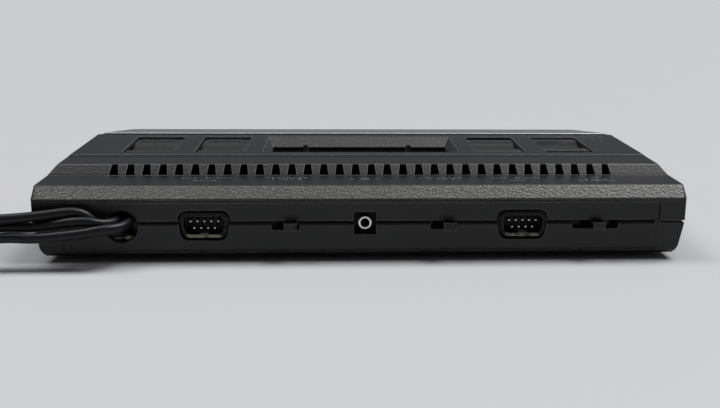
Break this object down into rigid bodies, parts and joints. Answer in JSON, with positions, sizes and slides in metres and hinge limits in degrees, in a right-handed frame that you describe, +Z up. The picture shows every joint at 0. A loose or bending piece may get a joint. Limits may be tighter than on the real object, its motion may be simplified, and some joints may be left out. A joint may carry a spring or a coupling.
{
  "type": "cartridge video game console",
  "caption": "Slim wedge-fronted cartridge game console with console switches, rear ports, a vent row and captive audio and video leads on phono plugs.",
  "frame": {"origin": "centre of the case's footprint, knobs included, on the surface that it stands on, without the leads", "axes": "+X towards the side where the leads leave, +Y out of the rear panel, +Z up; the player sits at -Y"},
  "size_m": [0.3639, 0.1964, 0.0358],
  "materials": {
    "case_plastic": "moulded, fine satin texture",
    "trim_metal": "brushed, lacquered dark at its face",
    "cap_plastic": "satin, finely brushed",
    "rubber": "matt",
    "plated_steel": "zinc plated",
    "nickel": "bright nickel plate",
    "port_plastic": "moulded",
    "gold_contact": "gold flashed",
    "board_laminate": "green solder resist",
    "chip_plastic": "moulded epoxy",
    "tin_plate": "bright tin plate",
    "heat_sink": "extruded",
    "capacitor_sleeve": "shrunk sleeve",
    "resistor_body": "lacquered",
    "white_plastic": "moulded",
    "lead_vinyl": "smooth vinyl",
    "yellow_vinyl": "smooth vinyl",
    "white_vinyl": "smooth vinyl",
    "red_vinyl": "smooth vinyl",
    "tie_strap": "smooth",
    "beige_plastic": "moulded phenolic"
  },
  "bodies": {
    "console": {"board_screws": "plated_steel", "cartridge_contacts": "gold_contact", "cartridge_guide": "port_plastic", "cartridge_socket": "port_plastic", "case_screws": "plated_steel", "channel_switch_body": "port_plastic", "clock_crystal": "tin_plate", "coil_ties": "tie_strap", "colour_switch_body": "tin_plate", "colour_trimmer_body": "beige_plastic", "electrolytic_capacitors": "capacitor_sleeve", "front_trim_plate": "trim_metal", "lead_block": "chip_plastic", "left_difficulty_switch_body": "port_plastic", "left_port_pins": "nickel", "left_port_shell": "port_plastic", "left_sound_coil": "lead_vinyl", "left_sound_lead": "lead_vinyl", "left_sound_plug": "white_vinyl", "lower_case": "case_plastic", "main_board": "board_laminate", "memory_chip": "chip_plastic", "plug_contacts": "nickel", "power_jack_body": "port_plastic", "power_jack_bushing": "nickel", "power_jack_contact": "gold_contact", "power_switch_body": "tin_plate", "processor_chip": "chip_plastic", "regulator_heat_sink": "heat_sink", "reset_return_spring": "plated_steel", "reset_switch_body": "chip_plastic", "right_difficulty_switch_body": "port_plastic", "right_port_pins": "nickel", "right_port_shell": "port_plastic", "right_sound_coil": "lead_vinyl", "right_sound_lead": "lead_vinyl", "right_sound_plug": "red_vinyl", "rubber_feet": "rubber", "select_return_spring": "plated_steel", "select_switch_body": "chip_plastic", "shield_can": "tin_plate", "small_components": "resistor_body", "sound_video_board": "board_laminate", "upper_case": "case_plastic", "video_chip": "chip_plastic", "video_coil": "lead_vinyl", "video_lead": "lead_vinyl", "video_plug": "yellow_vinyl", "voltage_regulator": "chip_plastic"},
    "reset_button": {"reset_button_cap": "cap_plastic"},
    "select_button": {"select_button_cap": "cap_plastic"},
    "colour_switch": {"colour_switch_cap": "cap_plastic", "colour_switch_lever": "white_plastic"},
    "power_switch": {"power_switch_cap": "cap_plastic", "power_switch_lever": "white_plastic"},
    "left_difficulty": {"left_difficulty_switch_lever": "port_plastic"},
    "right_difficulty": {"right_difficulty_switch_lever": "port_plastic"},
    "channel_switch": {"channel_switch_lever": "port_plastic"},
    "colour_trimmer": {"colour_trimmer_rotor": "white_plastic"}
  },
  "joints": [
    {"name": "reset_press", "type": "slide", "parent": "console", "child": "reset_button", "axis": [0, 0, 1], "range_m": [-0.002, 0], "stiffness_N_per_m": 300, "springref_m": 0.0015, "deforming": ["reset_return_spring"]},
    {"name": "select_press", "type": "slide", "parent": "console", "child": "select_button", "axis": [0, 0, 1], "range_m": [-0.002, 0], "stiffness_N_per_m": 300, "springref_m": 0.0015, "deforming": ["select_return_spring"]},
    {"name": "colour_slide", "type": "slide", "parent": "console", "child": "colour_switch", "axis": [0, -1, 0], "range_m": [0, 0.003]},
    {"name": "power_slide", "type": "slide", "parent": "console", "child": "power_switch", "axis": [0, 1, 0], "range_m": [0, 0.003]},
    {"name": "left_difficulty_slide", "type": "slide", "parent": "console", "child": "left_difficulty", "axis": [1, 0, 0], "range_m": [0, 0.0042]},
    {"name": "right_difficulty_slide", "type": "slide", "parent": "console", "child": "right_difficulty", "axis": [1, 0, 0], "range_m": [0, 0.0042]},
    {"name": "channel_slide", "type": "slide", "parent": "console", "child": "channel_switch", "axis": [1, 0, 0], "range_m": [0, 0.004]},
    {"name": "trimmer_turn", "type": "hinge", "parent": "console", "child": "colour_trimmer", "pos_m": [0.0865, -0.01825, 0.011], "axis": [0, 0, 1], "range_deg": [-135, 135]}
  ]
}
